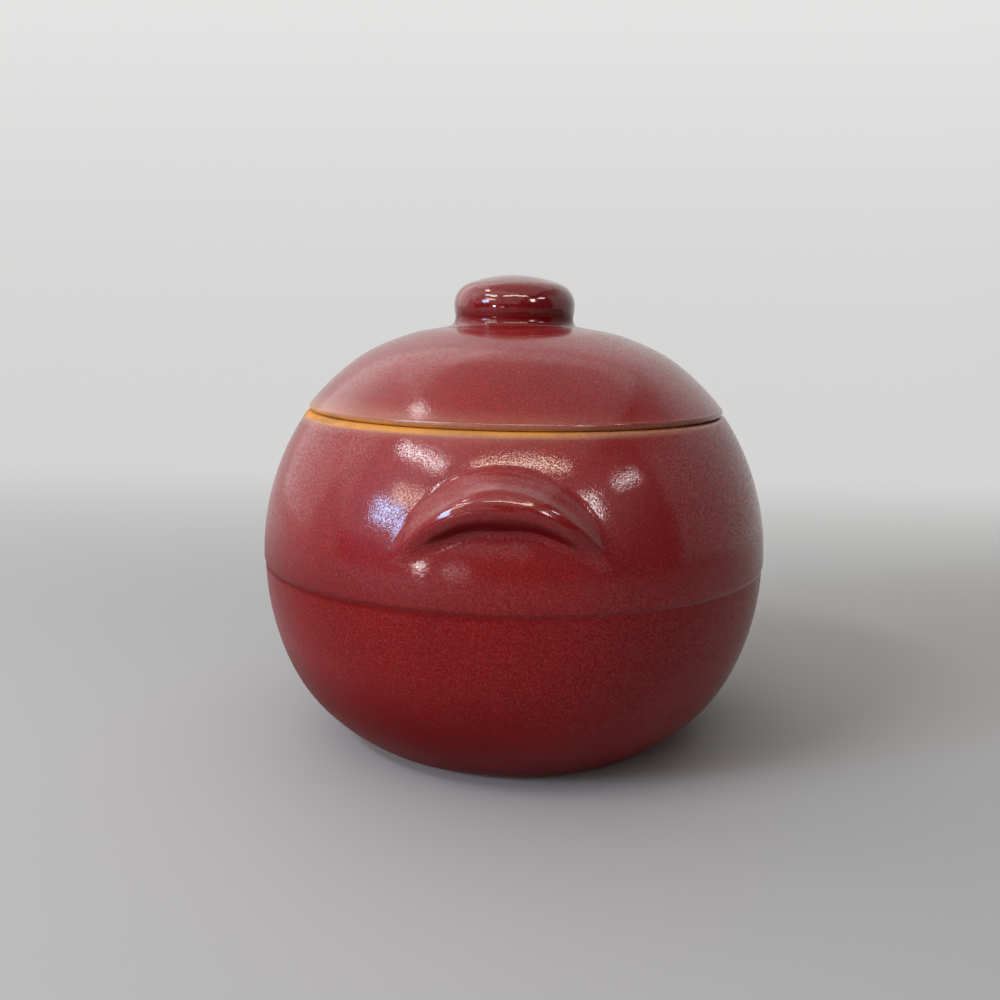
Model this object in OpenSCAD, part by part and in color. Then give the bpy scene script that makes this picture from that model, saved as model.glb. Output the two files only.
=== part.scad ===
// Lidded stoneware grease jar: a round body luted together from two halves,
// a pair of lug handles, and a domed lid with a locating flange and a knob.
// Millimetres, +Z up, origin at the middle of the foot, front lug towards -Y.

/* [Jar body] */
// Widest outside radius, just above the belly seam
belly_r = 81; // [74:0.5:90]
// Height of the belly seam above the table
seam_h = 58; // [52:0.5:64]
// Height of the mouth rim above the table
rim_h = 105; // [99:0.5:112]
// Step inwards at the seam, from the upper half to the lower half
seam_step = 0.7; // [0.3:0.1:1.5]
// Radius of the arc that shapes the shoulder
shoulder_arc_r = 79; // [74:0.5:90]
// Height of the shoulder arc's centre above the seam
shoulder_lift = 1.6; // [0:0.1:5]
// Radius of the arc that shapes the side of the bowl
bowl_arc_r = 80; // [74:0.5:90]
// Radius of the arc that turns the bowl under to its foot
base_arc_r = 63.5; // [56:0.5:70]
// Height at which the base arc takes over from the side
turn_h = 19; // [15:0.5:24]
// Thickness of the fired wall
wall = 6; // [4:0.25:8]
// Thickness of the floor inside the foot ring
floor_t = 7; // [4:0.25:10]
// Rounding of the rim's outer edge
rim_round = 2.2; // [1:0.1:3]

/* [Foot] */
// Outer radius of the ring that stands on the table
foot_r = 49.3; // [44:0.1:54]
// Width of the ring that stands on the table
foot_ring_w = 8; // [5:0.5:12]
// Depth of the hollow inside the ring
foot_recess = 2; // [1:0.25:3]

/* [Lid] */
// Height of the lid's crown above the rim
lid_rise = 29.4; // [26:0.1:33]
// Radius of the arc across the lid's crown
crown_arc_r = 110.5; // [100:0.5:120]
// Radius of the arc down the lid's shoulder
lid_arc_r = 80; // [70:0.5:90]
// Distance from the axis at which the shoulder arc takes over
lid_break_r = 47; // [44:0.5:50]
// How far the lid's edge lies inside the edge of the jar
lid_inset = 0.45; // [0.2:0.05:2]
// Rounding of the lid's lower edge
lid_round = 1.3; // [0.8:0.1:2.5]
// Thickness of the lid
lid_wall = 6; // [4:0.25:8]
// Depth of the locating flange below the rim
flange_h = 8; // [5:0.5:12]
// Thickness of the locating flange
flange_wall = 5.5; // [4:0.25:7]
// Gap all round between the flange and the mouth
lid_clearance = 1.2; // [0.5:0.1:2.5]

/* [Knob] */
// Widest radius of the knob
knob_r = 19.35; // [16:0.05:23]
// Height of the knob above the lid's crown
knob_h = 13.5; // [12:0.1:17]
// Radius of the arc across the knob's top
knob_crown_r = 42; // [32:0.5:60]
// Rounding of the knob's upper edge
knob_round = 7.5; // [6:0.1:9]
// How far the neck is drawn in below the widest radius
neck_draw = 0.5; // [0.2:0.05:1.5]
// Height of the slope from the neck out to the widest radius
neck_h = 2; // [1:0.1:3]
// How far the foot of the knob flares past its neck
flare_w = 1.6; // [1:0.1:3]
// Height of that flare
flare_h = 2; // [1:0.1:3]

/* [Lug handles] */
// Width of a lug from end to end
lug_w = 54; // [44:0.5:64]
// Height of the arch from its ends to its crest
lug_rise = 20; // [14:0.5:22]
// Drop from the rim to the crest of the arch
lug_drop = 10.7; // [8:0.1:16]
// How far the lug stands out from the wall at its middle
lug_reach = 8; // [5:0.5:12]
// Thickness of the lug at its middle
lug_t = 11; // [8:0.5:13]
// Thickness of the lug at its ends
lug_end_t = 5; // [4:0.5:8]
// Rise of the lug's top towards the wall, per millimetre
lug_slope = 0.4; // [0.2:0.01:0.5]

/* [Hidden] */
$fn = 180;
glaze = [0.55, 0.18, 0.20];
lid_glaze = [0.60, 0.22, 0.24];
knob_glaze = [0.50, 0.14, 0.16];
lug_glaze = [0.58, 0.20, 0.20];
// A length that goes past every outline
far = 2 * belly_r;
// A rounding is drawn this much larger than its radius, so that its arc crosses both faces
edge_ease = 1.015;

// Height of a circle of radius r and centre c at distance x from the axis, and its width at height z
function arc_z(c, r, x) = c[1] + sqrt(r * r - (x - c[0]) * (x - c[0]));
function arc_x(c, r, z) = c[0] + sqrt(r * r - (z - c[1]) * (z - c[1]));
// The point at distance rp from p and rq from q that lies on the left of the way from p to q
function arc_centre(p, rp, q, rq) =
    let (d = norm(q - p), u = (q - p) / d, a = (d * d + rp * rp - rq * rq) / (2 * d))
    p + a * u + sqrt(rp * rp - a * a) * [-u[1], u[0]];
// Direction from c to m
function away(c, m) = (m - c) / norm(m - c);

shoulder_c = [belly_r - shoulder_arc_r, seam_h + shoulder_lift];
rim_r = arc_x(shoulder_c, shoulder_arc_r, rim_h);
mouth_r = arc_x(shoulder_c, shoulder_arc_r - wall, rim_h);
rim_m = [arc_x(shoulder_c, shoulder_arc_r - rim_round, rim_h - rim_round), rim_h - rim_round];
bowl_r = belly_r - seam_step;
bowl_c = [bowl_r - bowl_arc_r, seam_h];
turn = [arc_x(bowl_c, bowl_arc_r, turn_h), turn_h];
base_c = arc_centre([foot_r, 0], base_arc_r, turn, base_arc_r);
floor_h = foot_recess + floor_t;

crown_h = rim_h + lid_rise;
crown_c = [0, crown_h - crown_arc_r];
lid_break = [lid_break_r, arc_z(crown_c, crown_arc_r, lid_break_r)];
lid_m = [rim_r - lid_inset - lid_round, rim_h + lid_round];
lid_c = arc_centre(lid_m, lid_arc_r - lid_round, lid_break, lid_arc_r);
flange_r = mouth_r - lid_clearance;
flange_in_r = flange_r - flange_wall;

knob_top = crown_h + knob_h;
knob_c = [0, knob_top - knob_crown_r];
knob_m = [knob_r - knob_round, arc_z(knob_c, knob_crown_r - knob_round, knob_r - knob_round)];
neck_r = knob_r - neck_draw;
flare_r = neck_r + flare_w;
flare_z = arc_z(crown_c, crown_arc_r, flare_r);

lug_top = rim_h - lug_drop;
lug_arc_r = (lug_w * lug_w / 4 + lug_rise * lug_rise) / (2 * lug_rise);
lug_arc_z = lug_top - lug_arc_r;
lug_half = atan2(lug_w / 2, lug_arc_r - lug_rise);
lug_tilt = atan(lug_slope);
// The sweep starts this far behind the wall's face, and its ends dip this far below it
lug_bury = lug_t;
lug_sink = 1;
lug_stations = 28;
lug_nose = 10;

module disc(c, r) translate(c) circle(r);

// The right half of a section, between two heights
module band(z0, z1) translate([0, z0]) square([far, z1 - z0]);

// Rounds the corner that lies between the directions a and b from the rounding's centre m
module rounded_corner(m, f, a, b) difference() {
    children();
    difference() {
        polygon([m, m + a * far, m + (a + b) * far, m + b * far]);
        disc(m, f * edge_ease);
    }
}

module bowl_section(inset) intersection() {
    disc(bowl_c, bowl_arc_r - inset);
    disc(base_c, base_arc_r - inset);
    band(0, seam_h);
}

module shoulder_section(inset) intersection() {
    disc(shoulder_c, shoulder_arc_r - inset);
    band(seam_h, rim_h);
}

module lid_section(inset) intersection() {
    disc(crown_c, crown_arc_r - inset);
    union() {
        disc(lid_c, lid_arc_r - inset);
        square([lid_break_r / 2, knob_top]);
    }
    band(rim_h - flange_h, knob_top);
}

module lower_bowl() color(glaze) rotate_extrude() difference() {
    bowl_section(0);
    intersection() {
        bowl_section(wall);
        band(floor_h, seam_h);
    }
    square([foot_r - foot_ring_w, foot_recess]);
}

module upper_shoulder() color(glaze) rotate_extrude() difference() {
    rounded_corner(rim_m, rim_round, [0, 1], away(shoulder_c, rim_m)) shoulder_section(0);
    shoulder_section(wall);
}

module lid_dome() color(lid_glaze) rotate_extrude() difference() {
    union() {
        rounded_corner(lid_m, lid_round, [0, -1], away(lid_c, lid_m)) intersection() {
            lid_section(0);
            band(rim_h, knob_top);
        }
        translate([0, rim_h - flange_h]) square([flange_r, flange_h]);
    }
    intersection() {
        lid_section(lid_wall);
        translate([0, rim_h - flange_h]) square([flange_in_r, flange_h + lid_rise]);
    }
}

module lid_knob() color(knob_glaze) rotate_extrude() difference() {
    rounded_corner(knob_m, knob_round, [1, 0], away(knob_c, knob_m)) intersection() {
        disc(knob_c, knob_crown_r);
        polygon([
            [0, rim_h], [flare_r, rim_h], [flare_r, flare_z], [neck_r, flare_z + flare_h],
            [neck_r, knob_m[1] - neck_h], [knob_r, knob_m[1]],
            [knob_r, knob_top + knob_h], [0, knob_top + knob_h]
        ]);
    }
    disc(crown_c, crown_arc_r);
}

// Section of a lug as [x, y, z] points, from its top root over its nose to its bottom root;
// t runs from -90 at one end of the arch to 90 at the other
function lug_section(t) =
    let (
        half_t = (lug_end_t + (lug_t - lug_end_t) * cos(t)) / 2,
        nose = (lug_reach + lug_sink) * cos(t) - lug_sink - half_t,
        spine = lug_arc_r - lug_slope_rise(half_t, nose),
        outline = [
            [-lug_bury, lug_slope_rise(half_t, nose + lug_bury)],
            for (i = [0 : lug_nose])
                let (s = 90 - lug_tilt - (180 - lug_tilt) * i / lug_nose)
                [nose + half_t * cos(s), half_t * sin(s)],
            [-lug_bury, -half_t]
        ]
    )
    [for (p = outline) lug_point(lug_half * sin(t), spine, p)];

// Height over the spine of the sloped top, which touches the nose, at a distance back from the nose's centre
function lug_slope_rise(half_t, back) = (half_t + back * sin(lug_tilt)) / cos(lug_tilt);

// A section's point p, which lies out from the wall at the section's spine, and across that spine;
// the section stands at the angle a of the arch
function lug_point(a, spine, p) =
    let (
        wall_x = spine * sin(a),
        wall_r = arc_x(shoulder_c, shoulder_arc_r, lug_arc_z + spine * cos(a)),
        rho = spine + p[1]
    )
    [rho * sin(a), -sqrt(wall_r * wall_r - wall_x * wall_x) - p[0], lug_arc_z + rho * cos(a)];

module lug_sweep() {
    rings = [for (i = [0 : lug_stations]) lug_section(180 * i / lug_stations - 90)];
    n = len(rings[0]);
    faces = [
        [for (j = [0 : n - 1]) j],
        for (i = [0 : lug_stations - 1], j = [0 : n - 1])
            let (a = i * n + j, b = i * n + (j + 1) % n) each [[a, a + n, b], [b, a + n, b + n]],
        [for (j = [n - 1 : -1 : 0]) lug_stations * n + j]
    ];
    polyhedron([for (ring = rings) each ring], faces);
}

module lug() color(lug_glaze) difference() {
    lug_sweep();
    rotate_extrude() shoulder_section(0);
}

module front_lug() lug();

module rear_lug() rotate([0, 0, 180]) lug();

lower_bowl();
upper_shoulder();
front_lug();
rear_lug();
lid_dome();
lid_knob();
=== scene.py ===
"""Looks of a lidded stoneware grease jar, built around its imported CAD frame.

Each CAD node gets a finer, glazed piece of its own: four turned forms made by one Geometry Nodes
tree, and two lug handles that are modelled onto the wall. Lengths are metres, in the CAD frame.
"""

import math

import bpy
import numpy as np
from bpy.props import FloatProperty, FloatVectorProperty, IntProperty, PointerProperty
from mathutils import Matrix, Vector


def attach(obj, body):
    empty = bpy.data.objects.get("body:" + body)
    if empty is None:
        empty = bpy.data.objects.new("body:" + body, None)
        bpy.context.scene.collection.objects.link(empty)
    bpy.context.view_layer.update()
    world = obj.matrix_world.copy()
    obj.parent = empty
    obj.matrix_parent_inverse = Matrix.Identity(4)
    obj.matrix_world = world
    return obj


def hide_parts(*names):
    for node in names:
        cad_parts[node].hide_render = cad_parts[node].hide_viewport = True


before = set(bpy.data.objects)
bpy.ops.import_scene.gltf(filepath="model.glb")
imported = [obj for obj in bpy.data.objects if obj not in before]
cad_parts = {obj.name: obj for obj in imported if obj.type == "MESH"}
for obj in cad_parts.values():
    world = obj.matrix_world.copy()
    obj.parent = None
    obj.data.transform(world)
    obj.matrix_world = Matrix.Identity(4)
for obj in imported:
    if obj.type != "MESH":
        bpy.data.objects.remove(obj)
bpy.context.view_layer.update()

bl_info = {
    "name": "Grease jar",
    "version": (1, 0, 0),
    "blender": (4, 5, 0),
    "location": "3D View > Sidebar > Grease Jar",
    "description": "Builds the glazed pieces of a lidded grease jar around its CAD frame",
    "category": "Add Mesh",
}

MM = 0.001


# Properties

def length(name, description, millimetres):
    """A length property, given in millimetres."""
    return FloatProperty(
        name=name, description=description, default=millimetres * MM,
        unit="LENGTH", subtype="DISTANCE", precision=5,
    )


def colour(name, description, rgb):
    """A linear colour property."""
    return FloatVectorProperty(
        name=name, description=description, default=rgb, size=3, min=0, max=1, subtype="COLOR",
    )


def angle(name, description, degrees):
    """An angle property, given in degrees."""
    return FloatProperty(
        name=name, description=description, default=math.radians(degrees), subtype="ANGLE",
    )


def number(name, description, value, **settings):
    """A plain number property."""
    return FloatProperty(name=name, description=description, default=value, **settings)


class BodySizes(bpy.types.PropertyGroup):
    """Sizes of the jar's two turned halves"""

    belly_r: length("Belly radius", "Widest outside radius, just above the seam", 81)
    seam_h: length("Seam height", "Height of the belly seam", 58)
    rim_h: length("Rim height", "Height of the mouth rim", 105)
    seam_step: length("Seam step", "Step inwards from the upper to the lower half", 0.4)
    seam_round: length("Seam rounding", "Rounding of the upper half's lower edge", 1.0)
    shoulder_arc_r: length("Shoulder arc", "Radius of the shoulder's arc", 79)
    shoulder_lift: length("Shoulder lift", "Height of that arc's centre above the seam", 1.6)
    bowl_arc_r: length("Bowl arc", "Radius of the bowl's side", 80)
    base_arc_r: length("Base arc", "Radius of the turn under to the foot", 63.5)
    turn_h: length("Turn height", "Height at which the base arc takes over", 19)
    turn_soft: length("Turn softness", "How softly the two arcs run into each other", 1.2)
    wall: length("Wall", "Thickness of the fired wall", 6)
    floor_t: length("Floor", "Thickness of the floor", 7)
    floor_round: length("Floor rounding", "Rounding between the floor and the wall", 9)
    rim_round: length("Rim rounding", "Rounding of the rim's outer edge", 2.2)
    mouth_round: length("Mouth rounding", "Rounding of the rim's inner edge", 1.4)
    foot_r: length("Foot radius", "Outer radius of the foot ring", 49.3)
    foot_ring_w: length("Foot ring", "Width of the foot ring", 8)
    foot_recess: length("Foot recess", "Depth of the hollow inside the ring", 2)
    foot_round: length("Foot rounding", "Rounding of the foot ring's edges", 0.9)


class LidSizes(bpy.types.PropertyGroup):
    """Sizes of the lid and its flange"""

    rise: length("Rise", "Height of the crown above the rim", 29.4)
    crown_arc_r: length("Crown arc", "Radius of the crown's arc", 110.5)
    side_arc_r: length("Side arc", "Radius of the arc down to the edge", 80)
    break_r: length("Break radius", "Distance from the axis at which the side arc takes over", 47)
    break_soft: length("Break softness", "How softly the two arcs run into each other", 1.0)
    flat: length("Flat", "How far the crown is flattened round the knob", 0.8)
    flat_r: length("Flat radius", "Distance from the axis at which the flattening ends", 34)
    inset: length("Inset", "How far the lid's edge lies inside the jar's", 0.45)
    edge_round: length("Edge rounding", "Rounding of the lower edge", 1.3)
    wall: length("Wall", "Thickness of the lid", 6)
    flange_h: length("Flange depth", "Depth of the locating flange", 8)
    flange_wall: length("Flange wall", "Thickness of the flange", 5.5)
    flange_round: length("Flange rounding", "Rounding of the flange's edges", 1.2)
    clearance: length("Clearance", "Gap between the flange and the mouth", 1.2)
    seat_gap: length("Seat gap", "Shadow gap between the lid and the rim", 0.12)


class KnobSizes(bpy.types.PropertyGroup):
    """Sizes of the lid's knob"""

    widest_r: length("Widest radius", "Widest radius of the knob", 19.35)
    height: length("Height", "Height above the lid's crown", 13.48)
    crown_arc_r: length("Crown arc", "Radius of the arc across the top", 42)
    edge_round: length("Edge rounding", "Rounding of the upper edge", 7.5)
    neck_draw: length("Neck draw", "How far the neck is drawn in", 0.45)
    flare_w: length("Flare", "How far the foot of the knob flares past its neck", 2.6)
    flare_h: length("Flare height", "Height of that flare", 2.7)
    shift: length("Shift", "How far the knob was set to the left of the axis", 0.95)


class LugSizes(bpy.types.PropertyGroup):
    """Sizes of a lug handle"""

    width: length("Width", "Width from end to end", 54)
    rise: length("Rise", "Height of the arch from its ends to its crest", 22)
    drop: length("Drop", "Drop from the rim to the crest", 10.9)
    reach: length("Reach", "How far it stands out at its middle", 7.85)
    thickness: length("Thickness", "Thickness at the middle", 11)
    arm_thickness: length("Arm thickness", "Thickness of the arms and ends", 7.1)
    root_soft: length("Root softness", "Softness of the joint to the wall along the top", 0.35)
    under_soft: length("Under softness", "Softness of the joint to the wall under the middle", 1.4)
    end_soft: length("End softness", "Softness of the joint to the wall at the ends", 1.0)
    tool_mark: length("Tool marks", "Depth of the faint marks of smoothing along the lug", 0.05)
    crease: length("Creases", "Depth of the creases pinched into one arm", 0.05)
    slope: number("Slope", "Rise of the top towards the wall, per metre, at the middle", 0.45)
    middle: number("Middle", "Share of each arm over which the thick middle fades", 0.41)
    end_slope: number("End slope", "Rise of the top towards the wall, per metre, at the ends", 0.80)


class GlazeLook(bpy.types.PropertyGroup):
    """Colours and grain of the glaze and the clay"""

    full: colour("Full glaze", "Where the glaze is thick", (0.25, 0.0028, 0.0040))
    pale: colour("Pale speck", "Fine pale specks in the glaze", (0.44, 0.06, 0.056))
    # Pooled glaze colour, also used as painted shade under the lugs, under the seam's lip, in the knob's neck
    # and towards the foot
    pool_and_shade: colour("Pooled glaze", "Where the glaze gathers", (0.16, 0.0006, 0.0009))
    thin: colour("Thin glaze", "Where the glaze thins over an edge", (0.40, 0.135, 0.075))
    clay: colour("Clay", "The fired clay where no glaze lies", (0.66, 0.285, 0.055))
    haze: number("Haze", "Roughness of the soft sheen under the gloss", 0.42, min=0, max=1)
    grain: length("Grain", "Width of the eggshell grain", 0.42)
    ripple: length("Ripple", "Width of the soft ripples in the glossy glaze", 3.0)
    warp: length("Warp", "How far the forms depart from true round", 0.22)
    steps: IntProperty(name="Steps", description="Steps round a turned form", default=224, min=24)


class StageLook(bpy.types.PropertyGroup):
    """The floor, the light and the camera"""

    floor: colour("Floor", "Colour of the floor, as it lights the jar", (0.32, 0.316, 0.308))
    seen_floor: colour("Seen floor", "Colour of the floor, as it is seen and mirrored", (0.47, 0.466, 0.456))
    low_backdrop: colour("Low backdrop", "Colour of the backdrop at the floor", (0.66, 0.665, 0.655))
    high_backdrop: colour("High backdrop", "Colour of the backdrop high up", (0.95, 0.95, 0.94))
    ambient: colour("Ambient", "Light from all round", (0.085, 0.085, 0.088))
    camera_distance: length("Distance", "Camera's distance from the axis", 351.23)
    camera_height: length("Height", "Camera's height above the floor", 136.94)
    camera_turn: angle("Turn", "How far the camera stands round from the front", 2.3)
    camera_pitch: angle("Pitch", "How far the camera looks down", 9.998)
    camera_yaw: angle("Yaw", "How far the camera looks past the axis", -0.755)
    camera_roll: angle("Roll", "How far the camera leans", 0.912)
    lens: number("Lens", "Focal length in millimetres", 38.88, subtype="DISTANCE_CAMERA")


class GreaseJarSettings(bpy.types.PropertyGroup):
    """Everything that a user would change"""

    body: PointerProperty(type=BodySizes)
    lid: PointerProperty(type=LidSizes)
    knob: PointerProperty(type=KnobSizes)
    lug: PointerProperty(type=LugSizes)
    glaze: PointerProperty(type=GlazeLook)
    stage: PointerProperty(type=StageLook)


# Plane geometry: points are (distance from the axis, height)

def arc_r(centre, radius, z):
    """Distance from the axis of a circle's outer side at height z."""
    return centre[0] + np.sqrt(radius * radius - (z - centre[1]) ** 2)


def arc_z(centre, radius, r):
    """Height of a circle's upper side at distance r from the axis."""
    return centre[1] + np.sqrt(radius * radius - (r - centre[0]) ** 2)


def meeting(p, p_radius, q, q_radius):
    """The point at those distances from p and q, on the left of the way from p to q."""
    p, q = np.array(p), np.array(q)
    gap = np.linalg.norm(q - p)
    along = (q - p) / gap
    share = (gap * gap + p_radius ** 2 - q_radius ** 2) / (2 * gap)
    return p + share * along + math.sqrt(p_radius ** 2 - share ** 2) * np.array([-along[1], along[0]])


def soft_min(a, b, softness):
    """The smaller of two values, with a rounded change from one to the other."""
    share = np.clip(0.5 + 0.5 * (b - a) / softness, 0, 1)
    return b + (a - b) * share - softness * share * (1 - share)


def smooth_step(low, high, value):
    """0 below low, 1 above high, and a smooth rise between."""
    share = np.clip((value - low) / (high - low), 0, 1)
    return share * share * (3 - 2 * share)


def line(start, end, count=2):
    """Points along a straight line."""
    return np.linspace(start, end, count)


def corner(start, tip, end, count=9):
    """Points along a soft corner that starts and ends along its two sides."""
    t = np.linspace(0, 1, count)[:, None]
    start, tip, end = (np.array(p, float) for p in (start, tip, end))
    return (1 - t) ** 2 * start + 2 * t * (1 - t) * tip + t * t * end


def arc(centre, radius, start, end, count):
    """Points along a circle, from one angle to the other in degrees."""
    turn = np.radians(np.linspace(start, end, count))
    return np.column_stack((centre[0] + radius * np.cos(turn), centre[1] + radius * np.sin(turn)))


def bearing(centre, point):
    """Angle in degrees of a point seen from a centre."""
    return math.degrees(math.atan2(point[1] - centre[1], point[0] - centre[0]))


def upright(radius_at, low, high, count):
    """Points up or down a side whose distance from the axis is a function of its height."""
    z = np.linspace(low, high, count)
    return np.column_stack((radius_at(z), z))


def across(height_at, start, end, count):
    """Points across a top whose height is a function of its distance from the axis."""
    r = np.linspace(start, end, count)
    return np.column_stack((r, height_at(r)))


class Body:
    """The curves that the jar's pieces share, worked out from its sizes."""

    def __init__(self, sizes):
        self.sizes = sizes
        self.shoulder_c = (sizes.belly_r - sizes.shoulder_arc_r, sizes.seam_h + sizes.shoulder_lift)
        bowl_r = sizes.belly_r - sizes.seam_step
        self.bowl_c = (bowl_r - sizes.bowl_arc_r, sizes.seam_h)
        turn = (arc_r(self.bowl_c, sizes.bowl_arc_r, sizes.turn_h), sizes.turn_h)
        self.base_c = meeting((sizes.foot_r, 0), sizes.base_arc_r, turn, sizes.base_arc_r)
        self.rim_r = self.shoulder(sizes.rim_h)
        self.mouth_r = self.shoulder(sizes.rim_h, sizes.wall)

    def shoulder(self, z, inset=0):
        """Radius of the upper half at height z."""
        return arc_r(self.shoulder_c, self.sizes.shoulder_arc_r - inset, z)

    def bowl(self, z, inset=0):
        """Radius of the lower half at height z."""
        side = arc_r(self.bowl_c, self.sizes.bowl_arc_r - inset, z)
        base = arc_r(self.base_c, self.sizes.base_arc_r - inset, z)
        return soft_min(side, base, self.sizes.turn_soft)


# Share of the flattened round's radius over which it is fully flat
FLAT_CORE = 0.6


class Lid:
    """The curves of the lid, worked out from its sizes and the jar's."""

    def __init__(self, sizes, body):
        rim_h = body.sizes.rim_h
        self.sizes = sizes
        self.crown_h = rim_h + sizes.rise
        self.crown_c = (0, self.crown_h - sizes.crown_arc_r)
        top = (sizes.break_r, arc_z(self.crown_c, sizes.crown_arc_r, sizes.break_r))
        self.edge_c = (body.rim_r - sizes.inset - sizes.edge_round, rim_h + sizes.edge_round)
        self.side_c = meeting(self.edge_c, sizes.side_arc_r - sizes.edge_round, top, sizes.side_arc_r)
        self.flange_r = body.mouth_r - sizes.clearance
        self.flange_in_r = self.flange_r - sizes.flange_wall

    def top(self, r, inset=0):
        """Height of the lid's outside at distance r from the axis, or of its inside."""
        crown = arc_z(self.crown_c, self.sizes.crown_arc_r - inset, r)
        side = arc_z(self.side_c, self.sizes.side_arc_r - inset, np.maximum(r, self.side_c[0]))
        flat_r = self.sizes.flat_r
        flat = self.sizes.flat * (1 - smooth_step(FLAT_CORE * flat_r, flat_r, r))
        return soft_min(crown, side, self.sizes.break_soft) - flat


# Outlines: lists of (points, glaze cover at the start, glaze cover at the end)

def bowl_outline(body):
    """The lower half, from the middle of its underside out, up, in and down to its floor."""
    sizes = body.sizes
    ring_in, soft = sizes.foot_r - sizes.foot_ring_w, sizes.foot_round
    floor_h = sizes.foot_recess + sizes.floor_t
    foot_side = (body.bowl(soft), soft)
    # Height above which pooled glaze and painted shade darken the bowl more, under the seam's lip
    pool_and_shade_h = sizes.seam_h - 2 * MM
    wall_end = floor_h + sizes.floor_round / 2
    wall_foot = body.bowl(floor_h, sizes.wall)
    return [
        (line((0, sizes.foot_recess), (ring_in - soft, sizes.foot_recess), 24), 1, 1),
        (corner((ring_in - soft, sizes.foot_recess), (ring_in, sizes.foot_recess), (ring_in, soft)), 1, 0.3),
        (corner((ring_in, soft), (ring_in, 0), (ring_in + soft, 0)), 0.3, 0),
        (line((ring_in + soft, 0), (sizes.foot_r - soft, 0), 6), 0, 0),
        (corner((sizes.foot_r - soft, 0), (sizes.foot_r, 0), foot_side), 0, 0.55),
        # Pooled glaze and painted shade darken the bowl, most towards the foot
        (upright(body.bowl, soft, 3 * soft, 6), 0.55, 1.5),
        (upright(body.bowl, 3 * soft, 2 * sizes.turn_h, 48), 1.5, 1.13),
        (upright(body.bowl, 2 * sizes.turn_h, pool_and_shade_h, 26), 1.13, 1.13),
        (upright(body.bowl, pool_and_shade_h, sizes.seam_h, 8), 1.13, 1.3),
        (line((body.bowl(sizes.seam_h), sizes.seam_h),
              (body.bowl(sizes.seam_h, sizes.wall), sizes.seam_h)), 1, 1),
        (upright(lambda z: body.bowl(z, sizes.wall), sizes.seam_h, wall_end, 48), 1, 1),
        (corner((body.bowl(wall_end, sizes.wall), wall_end), (wall_foot, floor_h),
                (wall_foot - sizes.floor_round, floor_h), 14), 1, 1),
        (line((wall_foot - sizes.floor_round, floor_h), (0, floor_h), 20), 1, 1),
    ]


def shoulder_outline(body, seat_gap):
    """The upper half, from its inner seat out over the seam's lip, up to the rim and down inside."""
    sizes = body.sizes
    lip_r = sizes.belly_r - sizes.seam_step
    # How far the lip's corner is eased in from the belly
    ease = 0.05 * MM
    fall = sizes.seam_step - ease
    lip_h = sizes.seam_h + math.sqrt(sizes.seam_round ** 2 - (sizes.seam_round - fall) ** 2)
    lip_top = (body.shoulder(lip_h + sizes.seam_round / 2), lip_h + sizes.seam_round / 2)
    rim_top = sizes.rim_h - seat_gap / 2
    rim_z = rim_top - sizes.rim_round
    rim_c = (body.shoulder(rim_z, sizes.rim_round), rim_z)
    rim_start = bearing(body.shoulder_c, rim_c)
    side_end = rim_z + sizes.rim_round * math.sin(math.radians(rim_start))
    mouth_end = rim_top - sizes.mouth_round
    # Heights at which the glaze grows even, thins towards the rim and breaks over it
    even_h, thin_h, break_h = lip_top[1] + 18 * MM, side_end - 3.4 * MM, side_end - 0.9 * MM
    # Height down to which it thickens again inside
    inside_h = mouth_end - 8 * MM
    return [
        (line((body.shoulder(sizes.seam_h, sizes.wall), sizes.seam_h), (lip_r, sizes.seam_h)), 1, 1),
        # Pooled glaze and painted shade darken the lip and the band above it, fading out by even_h
        (corner((lip_r, sizes.seam_h), (sizes.belly_r - 2 * ease, lip_h), lip_top, 12), 1.35, 1.2),
        (upright(body.shoulder, lip_top[1], even_h, 24), 1.2, 1),
        (upright(body.shoulder, even_h, thin_h, 40), 1, 1),
        (upright(body.shoulder, thin_h, break_h, 10), 1, 0.8),
        (upright(body.shoulder, break_h, side_end, 8), 0.8, 0.36),
        (arc(rim_c, sizes.rim_round, rim_start, 90, 12), 0.36, 0.05),
        (line((rim_c[0], rim_top), (body.mouth_r + 2 * sizes.mouth_round, rim_top), 6), 0.05, 0.1),
        (corner((body.mouth_r + 2 * sizes.mouth_round, rim_top), (body.mouth_r, rim_top),
                (body.shoulder(mouth_end, sizes.wall), mouth_end)), 0.1, 0.3),
        (upright(lambda z: body.shoulder(z, sizes.wall), mouth_end, inside_h, 12), 0.3, 1),
        (upright(lambda z: body.shoulder(z, sizes.wall), inside_h, sizes.seam_h, 40), 1, 1),
    ]


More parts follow.
